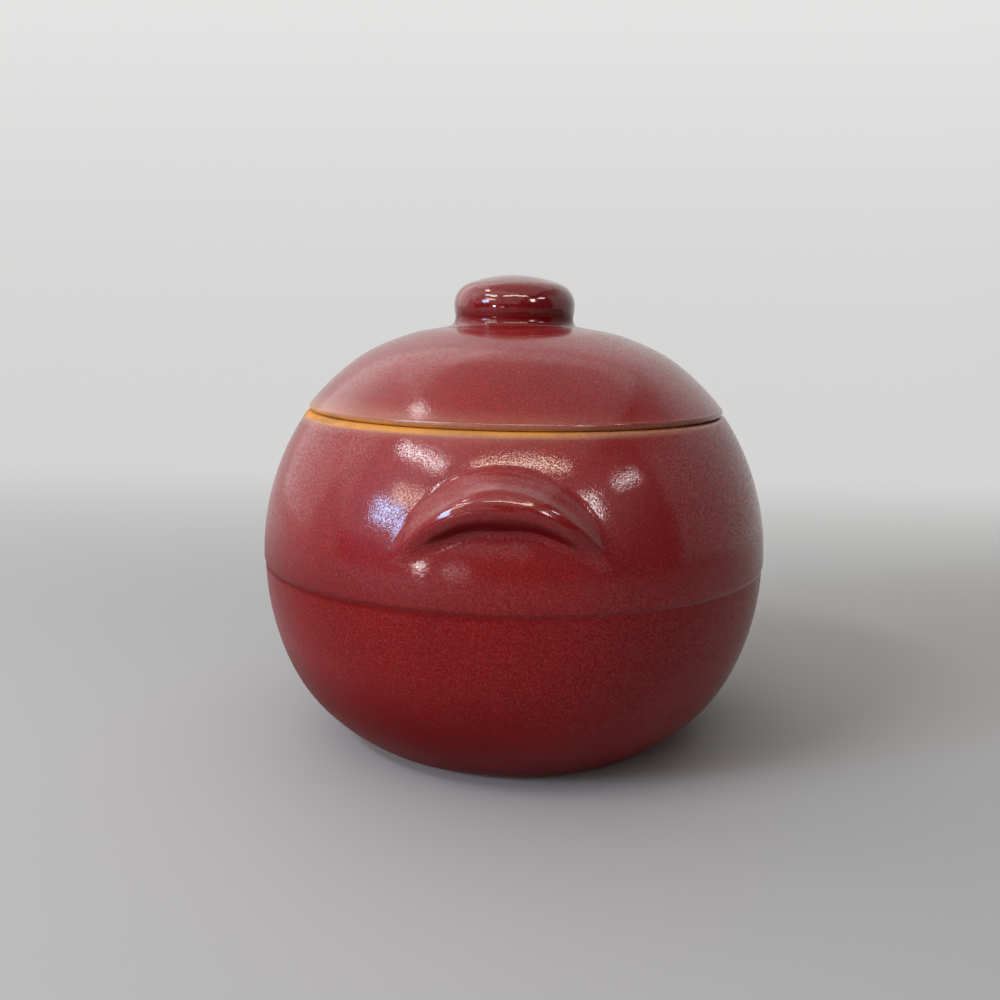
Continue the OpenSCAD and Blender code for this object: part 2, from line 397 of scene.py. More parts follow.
def lid_outline(lid, body):
    """The lid, from its crown out to its edge, in along its seat, round its flange and up inside."""
    sizes, rim_h = lid.sizes, body.sizes.rim_h
    seat = rim_h + sizes.seat_gap / 2
    edge_c = (lid.edge_c[0], seat + sizes.edge_round)
    start = bearing(lid.side_c, lid.edge_c)
    side_r = edge_c[0] + sizes.edge_round * math.cos(math.radians(start))
    # Distance from the axis beyond which the glaze thins
    thin_r = side_r - 5 * MM
    foot, soft = rim_h - sizes.flange_h, sizes.flange_round
    dome_foot = lid.top(lid.flange_in_r, sizes.wall)
    inside = lid.flange_in_r - 3 * soft
    return [
        (across(lid.top, 0, thin_r, 72), 1, 1),
        (across(lid.top, thin_r, side_r, 16), 1, 0.76),
        (arc(edge_c, sizes.edge_round, start, -25, 12), 0.76, 0.5),
        (arc(edge_c, sizes.edge_round, -25, -90, 10), 0.5, 0.1),
        (line((edge_c[0], seat), (lid.flange_r, seat), 5), 0.1, 0),
        (line((lid.flange_r, seat), (lid.flange_r, foot + soft), 5), 0, 0),
        (corner((lid.flange_r, foot + soft), (lid.flange_r, foot), (lid.flange_r - soft, foot)), 0, 0),
        (line((lid.flange_r - soft, foot), (lid.flange_in_r + soft, foot), 3), 0, 0),
        (corner((lid.flange_in_r + soft, foot), (lid.flange_in_r, foot),
                (lid.flange_in_r, foot + soft)), 0, 0.3),
        (line((lid.flange_in_r, foot + soft), (lid.flange_in_r, dome_foot - 3 * soft), 10), 0.3, 1),
        (corner((lid.flange_in_r, dome_foot - 3 * soft), (lid.flange_in_r, dome_foot),
                (inside, lid.top(inside, sizes.wall))), 1, 1),
        (across(lambda r: lid.top(r, sizes.wall), inside, 0, 48), 1, 1),
    ]


def knob_outline(sizes, lid):
    """The knob, from its top out, down to its drawn-in neck and out over the lid it grows from."""
    top_h = lid.crown_h + sizes.height
    top_c = (0, top_h - sizes.crown_arc_r)
    edge_r = sizes.widest_r - sizes.edge_round
    edge_c = (edge_r, arc_z(top_c, sizes.crown_arc_r - sizes.edge_round, edge_r))
    start = bearing(top_c, edge_c)
    neck_r = sizes.widest_r - sizes.neck_draw
    foot_r = neck_r + sizes.flare_w
    # How far the flare's edge lies in the lid, and the underside below that edge
    sunk, buried = 0.06 * MM, 1.5 * MM
    foot_h = lid.top(foot_r) - sunk
    neck_h = lid.top(neck_r) + sizes.flare_h

    def side(z):
        """Radius of the knob's side at height z."""
        down = np.clip((edge_c[1] - z) / (edge_c[1] - neck_h), 0, 1)
        return sizes.widest_r - sizes.neck_draw * down ** 3 * (4 - 3 * down)

    return [
        (arc(top_c, sizes.crown_arc_r, 90, start, 32), 1, 1),
        (arc(edge_c, sizes.edge_round, start, 0, 28), 1, 1),
        # Pooled glaze and painted shade darken the neck under the rounded edge
        (upright(side, edge_c[1], neck_h, 24), 1, 1.45),
        (corner((neck_r, neck_h), (neck_r, lid.top(neck_r)), (foot_r, foot_h), 18), 1.45, 1),
        (line((foot_r, foot_h), (foot_r - buried, foot_h - buried)), 1, 1),
        (line((foot_r - buried, foot_h - buried), (0, foot_h - buried), 12), 1, 1),
    ]


# Node helpers

def feed(tree, target, value):
    """Links an input to a socket, or sets it to a value."""
    if isinstance(value, bpy.types.NodeSocket):
        tree.links.new(value, target)
    else:
        target.default_value = value


def add_node(tree, kind, inputs=None, **settings):
    """A new node with its settings and with its inputs set to values or linked to sockets."""
    node = tree.nodes.new(kind)
    for name, value in settings.items():
        setattr(node, name, value)
    for name, value in (inputs or {}).items():
        feed(tree, node.inputs[name], value)
    return node


def calculate(tree, operation, *values):
    """The output of a Math node over sockets or numbers."""
    return add_node(tree, "ShaderNodeMath", dict(enumerate(values)), operation=operation).outputs[0]


def times(tree, first, second, *plus):
    """The product of two sockets or numbers, with a third added if it is given."""
    return calculate(tree, "MULTIPLY_ADD" if plus else "MULTIPLY", first, second, *plus)


def less(tree, first, second):
    """The first of two sockets or numbers less the second."""
    return calculate(tree, "SUBTRACT", first, second)


def fade(tree, value, low, high, to_low=0.0, to_high=1.0):
    """The output of a smooth Map Range node."""
    inputs = {"Value": value, "From Min": low, "From Max": high, "To Min": to_low, "To Max": to_high}
    return add_node(tree, "ShaderNodeMapRange", inputs, interpolation_type="SMOOTHSTEP").outputs["Result"]


def noise(tree, vector, scale, detail=2.0, roughness=0.5):
    """The value of a Noise Texture."""
    inputs = {"Vector": vector, "Scale": scale, "Detail": detail, "Roughness": roughness}
    return add_node(tree, "ShaderNodeTexNoise", inputs).outputs["Fac"]


def dots(tree, vector, scale, share, edge, core):
    """A mask of soft dots in the cells of a Voronoi Texture whose random number is above share."""
    cells = add_node(tree, "ShaderNodeTexVoronoi", {"Vector": vector, "Scale": scale}).outputs
    drawn = add_node(tree, "ShaderNodeSeparateColor", {0: cells["Color"]}).outputs[0]
    chosen = calculate(tree, "GREATER_THAN", drawn, share)
    return times(tree, fade(tree, cells["Distance"], edge, core), chosen)


def mix_colour(tree, share, first, second):
    """The output of a Mix node over two colours."""
    node = add_node(tree, "ShaderNodeMix", data_type="RGBA")
    for name, value in (("Factor_Float", share), ("A_Color", first), ("B_Color", second)):
        feed(tree, next(s for s in node.inputs if s.identifier == name), value)
    return next(s for s in node.outputs if s.identifier == "Result_Color")


def mix_shader(tree, share, first, second):
    """The output of a Mix Shader node."""
    return add_node(tree, "ShaderNodeMixShader", {0: share, 1: first, 2: second}).outputs[0]


def show(tree, shader):
    """Ends a material's tree in a shader."""
    tree.links.new(shader, add_node(tree, "ShaderNodeOutputMaterial").inputs["Surface"])


def split(tree, vector):
    """The X, Y and Z outputs of a vector."""
    return add_node(tree, "ShaderNodeSeparateXYZ", {0: vector}).outputs


def new_group(name, kind, inputs, outputs):
    """A node group and its two end nodes. A socket is (name, type) or (name, type, default)."""
    tree = bpy.data.node_groups.new(name, kind)
    for in_out, sockets in (("INPUT", inputs), ("OUTPUT", outputs)):
        for label, socket_type, *default in sockets:
            socket = tree.interface.new_socket(label, in_out=in_out, socket_type="NodeSocket" + socket_type)
            if default:
                socket.default_value = default[0]
    return tree, tree.nodes.new("NodeGroupInput").outputs, tree.nodes.new("NodeGroupOutput").inputs


def use_group(tree, name, inputs):
    """The outputs of a shader node group placed in a tree."""
    node = tree.nodes.new("ShaderNodeGroup")
    node.node_tree = bpy.data.node_groups[name]
    for socket, value in inputs.items():
        feed(tree, node.inputs[socket], value)
    return node.outputs


# The Geometry Nodes tree that turns an outline

TURNED_FORM = "Turned form"


def turned_form_tree():
    """Turns the outline that an object's mesh holds about the upright axis, into a closed skin."""
    if TURNED_FORM in bpy.data.node_groups:
        return bpy.data.node_groups[TURNED_FORM]
    tree, given, result = new_group(
        TURNED_FORM, "GeometryNodeTree",
        [("Outline", "Geometry"), ("Steps", "Int", 96), ("Weld", "Float", 1e-6), ("Material", "Material")],
        [("Geometry", "Geometry")],
    )
    outline, steps = given["Outline"], given["Steps"]

    def step(kind, inputs, **settings):
        """The first output of a new node."""
        return add_node(tree, kind, inputs, **settings).outputs[0]

    def held(kind, value):
        """A value of the outline's points, for the row that a point of the skin lies on."""
        node = add_node(
            tree, "GeometryNodeSampleIndex", {"Geometry": outline, "Index": row},
            data_type=kind, domain="POINT",
        )
        tree.links.new(value, node.inputs["Value"])
        return node.outputs["Value"]

    rows = add_node(tree, "GeometryNodeAttributeDomainSize", {"Geometry": outline}).outputs["Point Count"]
    skin = step("GeometryNodeMeshGrid", {"Vertices X": calculate(tree, "ADD", steps, 1), "Vertices Y": rows})
    index = add_node(tree, "GeometryNodeInputIndex").outputs["Index"]
    row = calculate(tree, "MODULO", index, rows)
    column = calculate(tree, "FLOOR", calculate(tree, "DIVIDE", calculate(tree, "ADD", index, 0.5), rows))
    turn = times(tree, calculate(tree, "DIVIDE", column, steps), 2 * math.pi)
    place = split(tree, held("FLOAT_VECTOR", add_node(tree, "GeometryNodeInputPosition").outputs[0]))
    target = step("ShaderNodeCombineXYZ", {
        "X": times(tree, place["X"], calculate(tree, "COSINE", turn)),
        "Y": times(tree, place["X"], calculate(tree, "SINE", turn)),
        "Z": place["Z"],
    })
    cover = add_node(tree, "GeometryNodeInputNamedAttribute", {"Name": "cover"}, data_type="FLOAT")
    cover = held("FLOAT", cover.outputs["Attribute"])
    skin = step(
        "GeometryNodeStoreNamedAttribute", {"Geometry": skin, "Name": "cover", "Value": cover},
        data_type="FLOAT", domain="POINT",
    )
    skin = step("GeometryNodeSetPosition", {"Geometry": skin, "Position": target})
    skin = step("GeometryNodeMergeByDistance", {"Geometry": skin, "Distance": given["Weld"]})
    skin = step("GeometryNodeSetShadeSmooth", {"Geometry": skin})
    skin = step("GeometryNodeRealizeInstances", {"Geometry": skin})
    skin = step("GeometryNodeSetMaterial", {"Geometry": skin, "Material": given["Material"]})
    tree.links.new(skin, result["Geometry"])
    return tree


# Making pieces

# Angles between two faces past which their edge is sharp
TURNED_SHARP = math.radians(40)
LUG_SHARP = math.radians(60)
# Waves of the warp: share, count round the jar, radians per metre up it, start in radians
WARP_WAVES = ((0.5, 2, 0, 0.7), (0.3, 3, 55, 2.1), (0.2, 5, -90, 0.4))
# Distance from the axis over which the warp sets in
WARP_START = (4 * MM, 45 * MM)


def warp(points, depth):
    """Draws points in a little, unevenly round and up the jar, as drying and firing leave it."""
    r = np.hypot(points[:, 0], points[:, 1])
    turn, z = np.arctan2(points[:, 1], points[:, 0]), points[:, 2]
    wave = sum(share * np.sin(count * turn + lean * z + start) for share, count, lean, start in WARP_WAVES)
    drawn = depth * (0.5 + 0.5 * wave) * smooth_step(*WARP_START, r)
    share = 1 - drawn / np.maximum(r, MM)
    return np.column_stack((points[:, 0] * share, points[:, 1] * share, z))


def warp_mesh(mesh, depth):
    """Moves a mesh's points by warp()."""
    points = np.empty(len(mesh.vertices) * 3)
    mesh.vertices.foreach_get("co", points)
    mesh.vertices.foreach_set("co", warp(points.reshape(-1, 3), depth).ravel())
    mesh.update()


def store(mesh, name, values):
    """Keeps one number for each point of a mesh."""
    mesh.attributes.new(name, "FLOAT", "POINT").data.foreach_set("value", np.asarray(values, np.float32))


def link(name, data):
    """A new object in the scene that holds a mesh, a lamp or a camera."""
    made = bpy.data.objects.new(name, data)
    bpy.context.scene.collection.objects.link(made)
    return made


def hand_over(piece, node, body):
    """Lets a piece stand for its CAD node and ride on a body."""
    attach(piece, body)
    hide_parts(node)


def turned_piece(name, outline, material, look):
    """A piece turned from its outline by the Geometry Nodes tree, as a plain mesh."""
    points, covers = [], []
    for run, cover_start, cover_end in outline:
        first = 1 if points else 0
        points.extend(run[first:])
        covers.extend(np.linspace(cover_start, cover_end, len(run))[first:])
    mesh = bpy.data.meshes.new(name + "_outline")
    mesh.from_pydata([(r, 0, z) for r, z in points], [(i, i + 1) for i in range(len(points) - 1)], [])
    store(mesh, "cover", covers)
    piece = link(name, mesh)
    tree = turned_form_tree()
    modifier = piece.modifiers.new("Turn", "NODES")
    modifier.node_group = tree
    values = {"Steps": look.steps, "Material": material}
    for item in tree.interface.items_tree:
        if item.in_out == "INPUT" and item.name in values:
            modifier[item.identifier] = values[item.name]
    depsgraph = bpy.context.evaluated_depsgraph_get()
    made = bpy.data.meshes.new_from_object(
        piece.evaluated_get(depsgraph), preserve_all_data_layers=True, depsgraph=depsgraph,
    )
    piece.modifiers.clear()
    piece.data = made
    made.name = name
    bpy.data.meshes.remove(mesh)
    if not made.polygons:
        raise RuntimeError(f"{name} came out empty")
    made.set_sharp_from_angle(angle=TURNED_SHARP)
    warp_mesh(made, look.warp)
    return piece


# The lug handles

# Sections along a lug, and points across each
LUG_STATIONS = 161
LUG_SAMPLES = 121
# Powers that shape how a lug's height falls from its middle to its ends
LUG_BLUNT = 2.7
LUG_LIFT = 1.2
# Distance across a lug in which the waves of the smoothing marks and of the creases turn by a radian, and
# how many radians they turn along an arm
MARK_STEP = 0.42 * MM
MARK_SLANT = 6
CREASE_STEP = 0.27 * MM
CREASE_SLANT = 9
# Where along an arm the creases lie, 1 being its end, and how far they spread
CREASE_PLACE = 0.7
CREASE_SPREAD = 0.1
# How far along the arch the sections go, 1 being its end, and how often a ray is halved to find the face
LUG_OVERRUN = 1.06
LUG_HALVINGS = 36
# Angles of a section's first and last ray, in degrees, and the length of a ray
LUG_RAYS = (82, -62)
LUG_RAY_LENGTH = 40 * MM
# How much glaze a lug loses where it stands out, the pooled glaze and painted shade it gains underneath, and
# its polish where it stands out
LUG_THINNING = 0.1
LUG_POOL_AND_SHADE = 0.5
LUG_POLISH = 0.62


def lug_surface(sizes, body):
    """The face of a front lug grown out of the wall: a grid of points, how far each stands out and
    how much of it lies underneath.

    A section lies across the arch. In it, out is the distance from the wall at the section's spine,
    towards the front, and v the distance from that spine, away from the arch's centre.
    """
    arch_r = (sizes.width ** 2 / 4 + sizes.rise ** 2) / (2 * sizes.rise)
    arch_z = body.sizes.rim_h - sizes.drop - arch_r
    half_angle = math.atan2(sizes.width / 2, arch_r - sizes.rise)
    # How deep the ends sink into the wall, how far along the arch its height follows the curve, and how far
    # inside the wall the rays start
    sink, full, deep = 1 * MM, 0.985, 6 * MM

    # How far along the arch each section lies, 1 being the end, and how high it stands there
    along = LUG_OVERRUN * np.sin(np.radians(np.linspace(-90, 90, LUG_STATIONS)))[:, None]
    inner = np.minimum(np.abs(along), full)
    height = (1 - inner ** LUG_BLUNT) ** LUG_LIFT
    end_fall = LUG_BLUNT * LUG_LIFT * full ** (LUG_BLUNT - 1) * (1 - full ** LUG_BLUNT) ** (LUG_LIFT - 1)
    fall = (np.abs(along) - inner) * end_fall
    thick = np.exp(-(inner / sizes.middle) ** 2)
    half_t = (sizes.arm_thickness + (sizes.thickness - sizes.arm_thickness) * thick) / 2
    nose = (sizes.reach + sink) * (height - fall) - sink - half_t
    tilt = np.arctan(sizes.slope + (sizes.end_slope - sizes.slope) * inner ** 2)
    spine = arch_r - (half_t + nose * np.sin(tilt)) / np.cos(tilt)
    root_soft = sizes.root_soft + (sizes.end_soft - sizes.root_soft) * inner ** 6
    under_soft = sizes.end_soft + (sizes.under_soft - sizes.end_soft) * height
    pinch = np.exp(-((along - CREASE_PLACE) / CREASE_SPREAD) ** 2)
    turn = half_angle * along

    def place(v):
        """Sideways place and height of a point of each section."""
        return (spine + v) * np.sin(turn), arch_z + (spine + v) * np.cos(turn)

    def wall(v):
        """How far in front of the axis the wall lies there."""
        x, z = place(v)
        return np.sqrt(body.shoulder(z) ** 2 - x ** 2)

    # Rays from inside the wall find where the wall and the lug, softly joined, end
    ray = np.radians(np.linspace(*LUG_RAYS, LUG_SAMPLES))[None, :]
    near = np.zeros((LUG_STATIONS, LUG_SAMPLES))
    far = np.full((LUG_STATIONS, LUG_SAMPLES), LUG_RAY_LENGTH)
    spine_wall = wall(0)
    for _ in range(LUG_HALVINGS):
        middle = (near + far) / 2
        out, v = middle * np.cos(ray) - deep, middle * np.sin(ray)
        lean = np.where(v > 0, tilt, 0)
        ahead = (out - nose) * np.cos(lean) - v * np.sin(lean)
        above = (out - nose) * np.sin(lean) + v * np.cos(lean)
        lug = np.hypot(np.maximum(ahead, 0), above) - half_t
        lug = lug + sizes.tool_mark * np.sin(v / MARK_STEP + MARK_SLANT * along)
        pinched = pinch * smooth_step(0.4, -0.2, v / half_t)
        lug = lug + sizes.crease * pinched * np.sin(v / CREASE_STEP + CREASE_SLANT * along)
        soft = under_soft + (root_soft - under_soft) * smooth_step(-half_t, half_t, v)
        stand = spine_wall + out - wall(v)
        inside = -soft * np.logaddexp(-stand / soft, -lug / soft) < 0
        near, far = np.where(inside, middle, near), np.where(inside, far, middle)
    out, v = near * np.cos(ray) - deep, near * np.sin(ray)
    x, z = place(v)
    under = smooth_step(0, 0.7, -v / half_t)
    return x, spine_wall + out, z, spine_wall + out - wall(v), under


def lug_mesh(name, sizes, body, side):
    """A closed lug: its face, and a back that lies hidden in the wall."""
    x, y, z, stand, under = lug_surface(sizes, body)
    hidden, back_depth = 0.05 * MM, 2.5 * MM
    face = y - hidden * (1 - smooth_step(0.02 * MM, 0.3 * MM, stand))
    back = y - stand - back_depth
    sheets = [np.stack((side * x, -side * depth, z), -1).reshape(-1, 3) for depth in (face, back)]
    count = x.size
    grid = np.arange(count).reshape(x.shape)
    quads = np.stack((grid[:-1, :-1], grid[:-1, 1:], grid[1:, 1:], grid[1:, :-1]), -1).reshape(-1, 4)
    border = np.concatenate((grid[:-1, 0], grid[-1, :-1], grid[:0:-1, -1], grid[0, :0:-1]))
    following = np.roll(border, -1)
    rim = np.stack((border, following, following + count, border + count), -1)
    faces = np.concatenate((quads, quads[:, ::-1] + count, rim))
    mesh = bpy.data.meshes.new(name)
    mesh.from_pydata(np.concatenate(sheets).tolist(), [], faces.tolist())
    cover = 1 - LUG_THINNING * smooth_step(2 * MM, 8 * MM, stand)
    # Painted shade: the underside is darkened with the pooled glaze colour
    cover = cover + LUG_POOL_AND_SHADE * under * smooth_step(0.2 * MM, 2.5 * MM, stand)
    polish = LUG_POLISH * smooth_step(3 * MM, 6.5 * MM, stand) * (1 - under)
    store(mesh, "cover", np.concatenate((cover.ravel(), np.ones(count))))
    store(mesh, "polish", np.concatenate((polish.ravel(), np.zeros(count))))
    mesh.polygons.foreach_set("use_smooth", np.ones(len(mesh.polygons), bool))
    mesh.set_sharp_from_angle(angle=LUG_SHARP)
    return mesh


# Materials: the scales of noises and dots are counts per metre

# Thickness of the glaze, 1 being full, from and to which the clay is covered, the thin colour comes, the full
# colour comes and the pooled glaze and painted shade come
COVERED = (0.1, 0.55)
THIN = (0.22, 0.6)
FULL = (0.5, 0.96)
POOL_AND_SHADE = (1.05, 1.5)
POLISHED_HAZE = 0.12
CLAY_ROUGHNESS = 0.6
GLAZE_IOR = 1.5
SKIN_DEPTH = 0.022 * MM


def break_group():
    """Where the glaze thins: the cover that a piece carries, made uneven."""
    tree, given, result = new_group(
        "Glaze break", "ShaderNodeTree",
        [("Vector", "Vector"), ("Cover", "Float", 1.0), ("Lean", "Float", 0.0)], [("Thickness", "Float")],
    )
    place, cover = given["Vector"], given["Cover"]
    broad = less(tree, noise(tree, place, scale=55), 0.5)
    fine = less(tree, noise(tree, place, scale=900), 0.5)
    uneven = times(tree, fine, 0.5, times(tree, broad, 0.5))
    leaning = times(tree, split(tree, place)["X"], given["Lean"])
    uneven = times(tree, leaning, 10.0, uneven)
    tree.links.new(times(tree, uneven, less(tree, 1.0, cover), cover), result["Thickness"])


def mottle_group():
    """The glaze's unevenness of tone, its fine pale specks and its few dark flecks."""
    tree, given, result = new_group(
        "Glaze mottle", "ShaderNodeTree",
        [("Vector", "Vector")], [("Tone", "Float"), ("Speck", "Float"), ("Fleck", "Float")],
    )
    place = given["Vector"]
    cloud = noise(tree, place, scale=40, detail=3)
    grain = noise(tree, place, scale=1900, roughness=0.6)
    tone = times(tree, less(tree, cloud, 0.5), 0.45, 1.0)
    tone = times(tree, less(tree, grain, 0.5), 1.5, tone)
    bright = fade(tree, grain, 0.5, 0.78)
    speck = dots(tree, place, scale=480, share=0.72, edge=0.14, core=0.056)
    speck = calculate(tree, "MAXIMUM", speck, bright)
    fleck = dots(tree, place, scale=210, share=0.88, edge=0.08, core=0.032)
    tree.links.new(tone, result["Tone"])
    tree.links.new(speck, result["Speck"])
    tree.links.new(fleck, result["Fleck"])


def skin_group():
    """The fired skin: eggshell grain that breaks the gloss where it is matt, ripples where it is polished."""
    tree, given, result = new_group(
        "Glaze skin", "ShaderNodeTree",
        [("Vector", "Vector"), ("Grain", "Float", 1 * MM), ("Ripple", "Float", 3 * MM),
         ("Polish", "Float", 0.0)],
        [("Height", "Float"), ("Gloss", "Float")],
    )
    place, polish = given["Vector"], given["Polish"]
    grain_scale, ripple_scale = (calculate(tree, "DIVIDE", 1.0, given[name]) for name in ("Grain", "Ripple"))
    grain = noise(tree, place, grain_scale, detail=1.5, roughness=0.45)
    ripple = noise(tree, place, ripple_scale, detail=1.0)
    swell = noise(tree, place, scale=45, detail=1.0)
    matt = times(tree, polish, -0.88, 1.0)
    dull = times(tree, fade(tree, grain, 0.36, 0.64, to_low=0.9, to_high=0.0), matt)
    rippling = times(tree, times(tree, polish, polish), 4.0, 1.2)
    height = times(tree, ripple, rippling, times(tree, grain, matt))
    height = times(tree, swell, 5.0, height)
    pit = dots(tree, place, scale=85, share=0.93, edge=0.035, core=0.0)
    tree.links.new(times(tree, pit, -5.0, height), result["Height"])
    tree.links.new(less(tree, 1.0, dull), result["Gloss"])


def clay_group():
    """The fired clay's iron specks, as a share of colour, and its grit, as a height."""
    tree, given, result = new_group(
        "Fired clay", "ShaderNodeTree", [("Vector", "Vector")], [("Stain", "Float"), ("Grit", "Float")],
    )
    place = given["Vector"]
    cells = add_node(tree, "ShaderNodeTexVoronoi", {"Vector": place, "Scale": 700}).outputs
    speck = times(tree, fade(tree, cells["Distance"], 0.22, 0.05), 0.35)
    toast = fade(tree, noise(tree, place, scale=120, detail=3), 0.42, 0.7)
    tree.links.new(times(tree, toast, 0.45, speck), result["Stain"])
    tree.links.new(noise(tree, place, scale=1900, detail=4, roughness=0.65), result["Grit"])


def rgba(rgb, tint=1.0):
    """A colour property as four numbers, lightened or darkened."""
    return (*(c * tint for c in rgb), 1.0)


def empty_material(name):
    """A new material and its node tree, without nodes."""
    material = bpy.data.materials.new(name)
    material.use_nodes = True
    material.node_tree.nodes.clear()
    return material, material.node_tree


def glaze_material(name, look, polish, roughness, sheen, gloss=1.0, lean=0.0, depth=1.0):
    """Glazed stoneware. polish is a number, or the name of the attribute that holds it."""
    material, tree = empty_material(name)
    place = add_node(tree, "ShaderNodeTexCoord").outputs["Object"]
    cover = add_node(tree, "ShaderNodeAttribute", attribute_name="cover").outputs["Fac"]
    if isinstance(polish, str):
        polish = add_node(tree, "ShaderNodeAttribute", attribute_name=polish).outputs["Fac"]
    thickness = use_group(tree, "Glaze break", {"Vector": place, "Cover": cover, "Lean": lean})["Thickness"]
    mottle = use_group(tree, "Glaze mottle", {"Vector": place})
    clay = use_group(tree, "Fired clay", {"Vector": place})

    toned = add_node(
        tree, "ShaderNodeHueSaturation", {"Value": mottle["Tone"], "Color": rgba(look.full, depth)},
    ).outputs[0]
    toned = mix_colour(tree, times(tree, mottle["Speck"], 0.4), toned, rgba(look.pale))
    toned = mix_colour(tree, times(tree, mottle["Fleck"], 0.5), toned, rgba(look.full, 0.35))
    # Painted shade and pooled glaze: where the cover runs above 1, a darker colour and less coat
    pool_and_shade = fade(tree, thickness, *POOL_AND_SHADE)
    toned = mix_colour(tree, pool_and_shade, toned, rgba(look.pool_and_shade))
    bare = mix_colour(tree, clay["Stain"], rgba(look.clay), rgba(look.thin, 0.8))
    thinned = mix_colour(tree, fade(tree, thickness, *THIN), bare, rgba(look.thin))
    shown = mix_colour(tree, fade(tree, thickness, *FULL), thinned, toned)

    glazed = fade(tree, thickness, *COVERED)
    skin = use_group(tree, "Glaze skin", {
        "Vector": place, "Grain": look.grain, "Ripple": look.ripple, "Polish": polish,
    })
    haze = times(tree, polish, POLISHED_HAZE - look.haze, look.haze)
    haze = add_node(
        tree, "ShaderNodeMix", {"Factor": glazed, "A": CLAY_ROUGHNESS, "B": haze}, data_type="FLOAT",
    ).outputs["Result"]
    coat = times(tree, pool_and_shade, -0.92 * gloss, gloss)
    coat = times(tree, times(tree, skin["Gloss"], glazed), coat)
    height = times(tree, clay["Grit"], less(tree, 1.0, glazed), skin["Height"])
    normal = add_node(
        tree, "ShaderNodeBump", {"Strength": 1.0, "Distance": SKIN_DEPTH, "Height": height},
    ).outputs["Normal"]
    show(tree, add_node(
        tree, "ShaderNodeBsdfPrincipled",
        {"Base Color": shown, "Roughness": haze, "Specular IOR Level": sheen, "Normal": normal,
         "IOR": GLAZE_IOR, "Coat Weight": coat, "Coat Roughness": roughness, "Coat IOR": GLAZE_IOR,
         "Coat Normal": normal},
    ).outputs[0])
    return material


GLAZES = {
    "body_glaze": {"polish": 0.0, "roughness": 0.08, "sheen": 0.19, "lean": 1.0},
    "bowl_glaze": {"polish": 0.0, "roughness": 0.09, "sheen": 0.06, "gloss": 0.82, "lean": 1.0},
    "lid_glaze": {"polish": 0.25, "roughness": 0.09, "sheen": 0.21, "lean": 1.0},
    "knob_glaze": {"polish": 0.75, "roughness": 0.06, "sheen": 0.12, "depth": 0.72},
    "lug_glaze": {"polish": "polish", "roughness": 0.08, "sheen": 0.19},
}


def glaze(name, context):
    """One of the jar's glazes, made with its groups when it is first needed."""
    if name in bpy.data.materials:
        return bpy.data.materials[name]
    if "Glaze break" not in bpy.data.node_groups:
        for group in (break_group, mottle_group, skin_group, clay_group):
            group()
    return glaze_material(name, context.scene.grease_jar.glaze, **GLAZES[name])


# Operators

class MakeLowerBowl(bpy.types.Operator):
    """Makes the jar's lower half, with its foot ring and floor"""

    bl_idname = "grease_jar.make_lower_bowl"
    bl_label = "Lower bowl"

    def execute(self, context):
        jar = context.scene.grease_jar
        outline = bowl_outline(Body(jar.body))
        piece = turned_piece("lower_bowl_glazed", outline, glaze("bowl_glaze", context), jar.glaze)
        hand_over(piece, "lower_bowl", "jar")
        return {"FINISHED"}


class MakeUpperShoulder(bpy.types.Operator):
    """Makes the jar's upper half, from the belly seam to the mouth rim"""

    bl_idname = "grease_jar.make_upper_shoulder"
    bl_label = "Upper shoulder"

    def execute(self, context):
        jar = context.scene.grease_jar
        outline = shoulder_outline(Body(jar.body), jar.lid.seat_gap)
        piece = turned_piece("upper_shoulder_glazed", outline, glaze("body_glaze", context), jar.glaze)
        hand_over(piece, "upper_shoulder", "jar")
        return {"FINISHED"}


class MakeLugs(bpy.types.Operator):
    """Makes the front and the rear lug handle"""

    bl_idname = "grease_jar.make_lugs"
    bl_label = "Lug handles"

    def execute(self, context):
        jar = context.scene.grease_jar
        body = Body(jar.body)
        for name, side in (("front_lug", 1), ("rear_lug", -1)):
            mesh = lug_mesh(name + "_glazed", jar.lug, body, side)
            mesh.materials.append(glaze("lug_glaze", context))
            warp_mesh(mesh, jar.glaze.warp)
            hand_over(link(name + "_glazed", mesh), name, "jar")
        return {"FINISHED"}


class MakeLidDome(bpy.types.Operator):
    """Makes the domed lid, with its edge, seat and flange"""

    bl_idname = "grease_jar.make_lid_dome"
    bl_label = "Lid dome"

    def execute(self, context):
        jar = context.scene.grease_jar
        body = Body(jar.body)
        outline = lid_outline(Lid(jar.lid, body), body)
        piece = turned_piece("lid_dome_glazed", outline, glaze("lid_glaze", context), jar.glaze)
        hand_over(piece, "lid_dome", "lid")
        return {"FINISHED"}


class MakeLidKnob(bpy.types.Operator):
    """Makes the lid's knob"""

    bl_idname = "grease_jar.make_lid_knob"
    bl_label = "Lid knob"

    def execute(self, context):
        jar = context.scene.grease_jar
        outline = knob_outline(jar.knob, Lid(jar.lid, Body(jar.body)))
        piece = turned_piece("lid_knob_glazed", outline, glaze("knob_glaze", context), jar.glaze)
        piece.data.transform(Matrix.Translation((-jar.knob.shift, 0, 0)))
        hand_over(piece, "lid_knob", "lid")
        return {"FINISHED"}


# Soft boxes: name, compass angle from the front, height angle, width, height, power, colour
SOFT_BOXES = (
    ("front_fill", -38, 37, 2.8, 1.35, 8.9, (1.0, 0.97, 0.95)),
    ("left_bank", -130, 32, 1.8, 1.5, 6.3, (1.0, 0.98, 0.96)),
    ("ceiling", 0, 90, 1.75, 1.75, 6.6, (1.0, 0.97, 0.94)),
    ("left_window", -55.5, 18, 0.31, 0.19, 5.2, (0.33, 0.60, 1.0)),
    ("left_warm", -46, 26, 0.42, 0.16, 2.6, (1.0, 0.74, 0.58)),
    ("left_high", -52, 42.5, 0.50, 0.115, 3.7, (0.95, 0.96, 1.0)),
)
